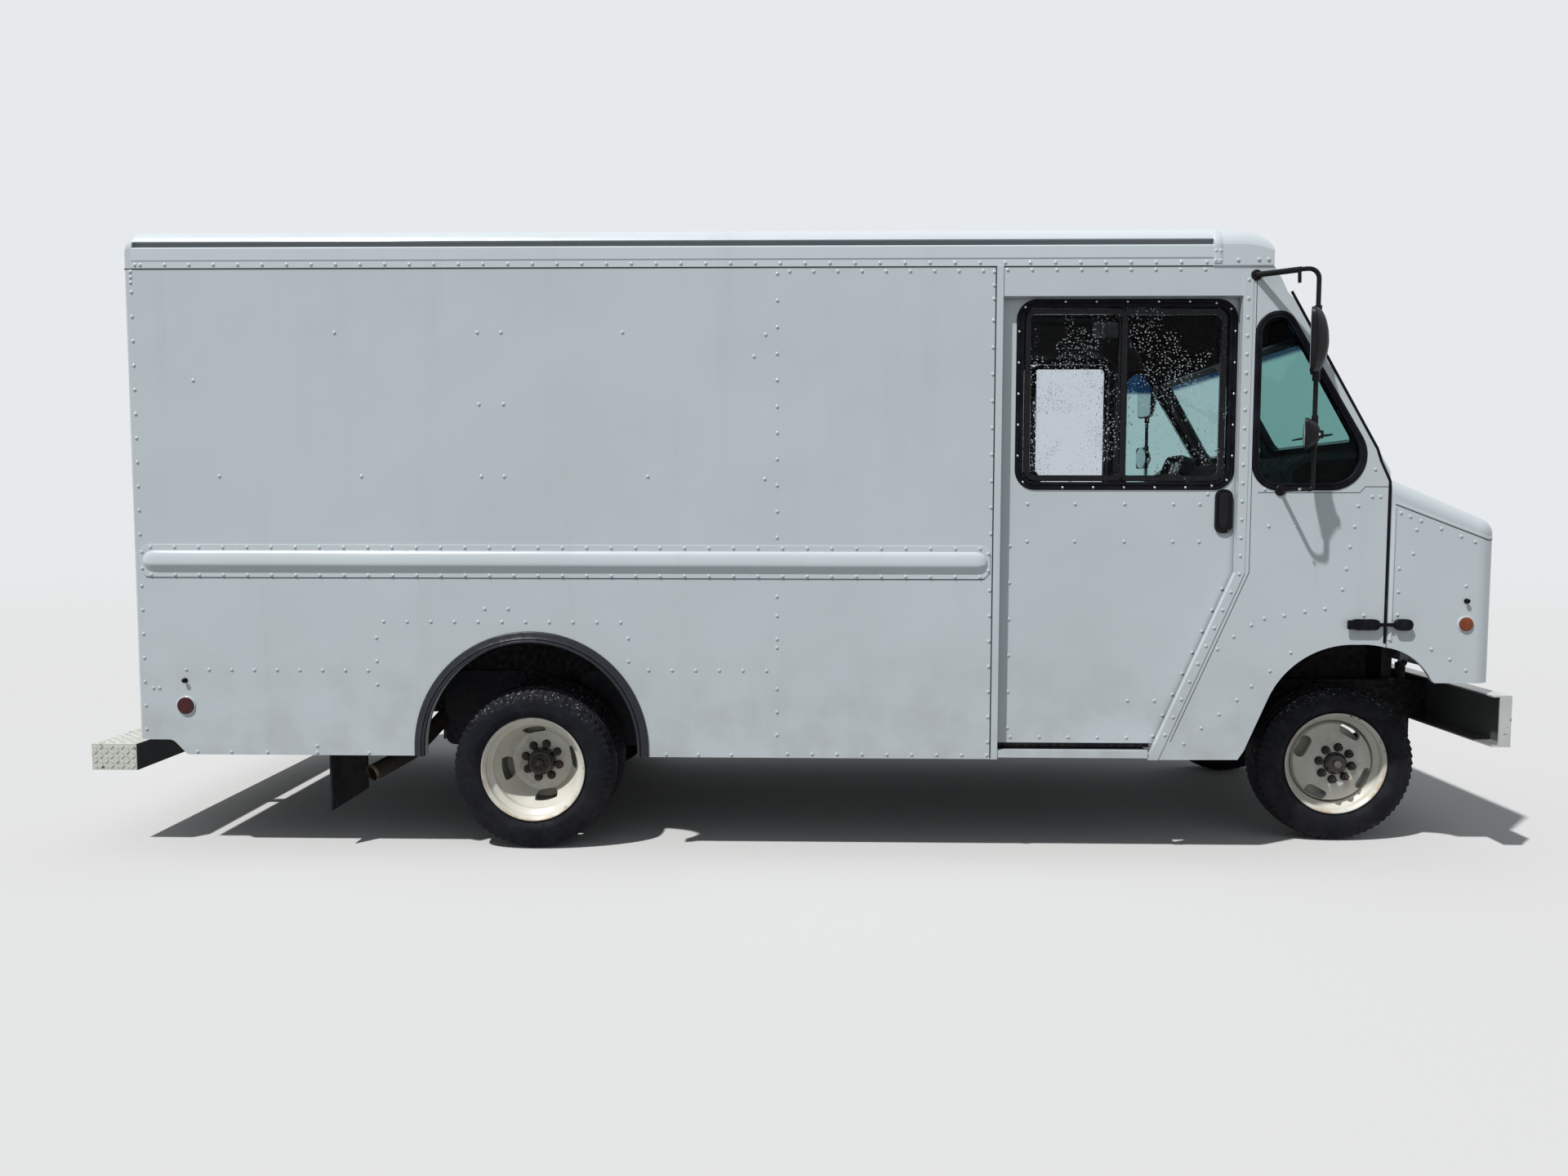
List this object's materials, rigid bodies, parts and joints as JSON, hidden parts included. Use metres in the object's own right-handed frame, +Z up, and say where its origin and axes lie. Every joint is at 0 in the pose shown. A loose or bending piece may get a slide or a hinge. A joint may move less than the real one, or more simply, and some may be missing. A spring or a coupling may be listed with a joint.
{
  "type": "step van",
  "caption": "Walk-in step van: hollow aluminium body, sliding cab doors, tilting nose, steered front wheels, twin rear wheels and a step bumper.",
  "frame": {"origin": "on the ground, midway between the bumpers and midway between the sides", "axes": "+X forward, +Y to the driver's side, +Z up"},
  "size_m": [6.87, 2.874, 3.03],
  "materials": {
    "chassis_black": "black chassis paint, dusty",
    "engine_grey": "cast",
    "radiator_black": "dark core",
    "tank_steel": "black",
    "exhaust_steel": "weathered",
    "flap_rubber": "matt",
    "deck_grey": "worn deck",
    "body_white": "gloss white",
    "rail_white": "gloss white",
    "flare_rubber": "black",
    "roof_white": "white",
    "cap_white": "moulded white",
    "rear_door_white": "white slats",
    "step_white": "chipped white tread plate",
    "bumper_white": "chipped white",
    "gasket_rubber": "black",
    "tinted_glass": "green tint",
    "door_glass": "clear, wet",
    "liner_grey": "satin",
    "dash_black": "grained",
    "seat_black": "vinyl",
    "mirror_black": "black",
    "red_lens": "lens",
    "amber_lens": "lens",
    "clear_lens": "clear lens",
    "nose_white": "moulded gloss white",
    "grille_black": "black",
    "door_white": "gloss white",
    "rim_white": "chipped white",
    "tyre_black": "dusty"
  },
  "bodies": {
    "body": {"frame": "chassis_black", "front_axle": "chassis_black", "rear_axle": "chassis_black", "leaf_springs": "chassis_black", "engine": "engine_grey", "radiator": "radiator_black", "fuel_tank": "tank_steel", "exhaust": "exhaust_steel", "mudflaps": "flap_rubber", "floor": "deck_grey", "cargo_walls": "body_white", "rub_rails": "rail_white", "wheel_flares": "flare_rubber", "roof": "roof_white", "roof_cap": "cap_white", "rear_frame": "body_white", "rollup_door": "rear_door_white", "rear_bumper": "step_white", "front_bumper": "bumper_white", "cab_front": "body_white", "cab_sides": "body_white", "window_gaskets": "gasket_rubber", "cab_glass": "tinted_glass", "doorways": "body_white", "bulkhead": "liner_grey", "dashboard": "dash_black", "driver_seat": "seat_black", "mirrors": "mirror_black", "red_lamps": "red_lens", "brow_lamps": "amber_lens", "latch_straps": "gasket_rubber"},
    "hood": {"nose": "nose_white", "grille": "grille_black", "headlamps": "clear_lens", "amber_lamps": "amber_lens", "latch_hooks": "gasket_rubber"},
    "steering": {"steering_wheel": "dash_black"},
    "sliding_door_right": {"door_right": "door_white", "door_trim_right": "gasket_rubber", "door_glass_right": "door_glass"},
    "steered_right": {"knuckle_right": "chassis_black"},
    "front_wheel_right": {"front_rim_right": "rim_white", "front_tyre_right": "tyre_black"},
    "rear_wheels_right": {"rear_rims_right": "rim_white", "rear_tyres_right": "tyre_black"},
    "sliding_door_left": {"door_left": "door_white", "door_trim_left": "gasket_rubber", "door_glass_left": "door_glass"},
    "steered_left": {"knuckle_left": "chassis_black"},
    "front_wheel_left": {"front_rim_left": "rim_white", "front_tyre_left": "tyre_black"},
    "rear_wheels_left": {"rear_rims_left": "rim_white", "rear_tyres_left": "tyre_black"}
  },
  "joints": [
    {"name": "hood_tilt", "type": "hinge", "parent": "body", "child": "hood", "pos_m": [3.302, 0, 0.852], "axis": [0, 1, 0], "range_deg": [0, 65]},
    {"name": "door_slide_right", "type": "slide", "parent": "body", "child": "sliding_door_right", "axis": [-1, 0, 0], "range_m": [0, 1]},
    {"name": "steer_right", "type": "hinge", "parent": "body", "child": "steered_right", "pos_m": [2.753, -0.66, 0.398], "axis": [0, 0, 1], "range_deg": [-32, 32]},
    {"name": "front_spin_right", "type": "hinge", "parent": "steered_right", "child": "front_wheel_right", "pos_m": [2.753, -0.785, 0.398], "axis": [0, 1, 0], "continuous": true},
    {"name": "rear_spin_right", "type": "hinge", "parent": "body", "child": "rear_wheels_right", "pos_m": [-1.26, -0.9, 0.398], "axis": [0, 1, 0], "continuous": true},
    {"name": "door_slide_left", "type": "slide", "parent": "body", "child": "sliding_door_left", "axis": [-1, 0, 0], "range_m": [0, 1]},
    {"name": "steer_left", "type": "hinge", "parent": "body", "child": "steered_left", "pos_m": [2.753, 0.66, 0.398], "axis": [0, 0, 1], "range_deg": [-32, 32]},
    {"name": "front_spin_left", "type": "hinge", "parent": "steered_left", "child": "front_wheel_left", "pos_m": [2.753, 0.785, 0.398], "axis": [0, 1, 0], "continuous": true},
    {"name": "rear_spin_left", "type": "hinge", "parent": "body", "child": "rear_wheels_left", "pos_m": [-1.26, 0.9, 0.398], "axis": [0, 1, 0], "continuous": true},
    {"name": "steering_wheel_turn", "type": "hinge", "parent": "body", "child": "steering", "pos_m": [2.193, 0.56, 1.655], "axis": [-0.8341, 0, 0.5516], "range_deg": [-480, 480]}
  ],
  "couplings": [
    {"joint": "steer_right", "follows": "steer_left", "ratio": 1},
    {"joint": "steering_wheel_turn", "follows": "steer_left", "ratio": 15}
  ]
}
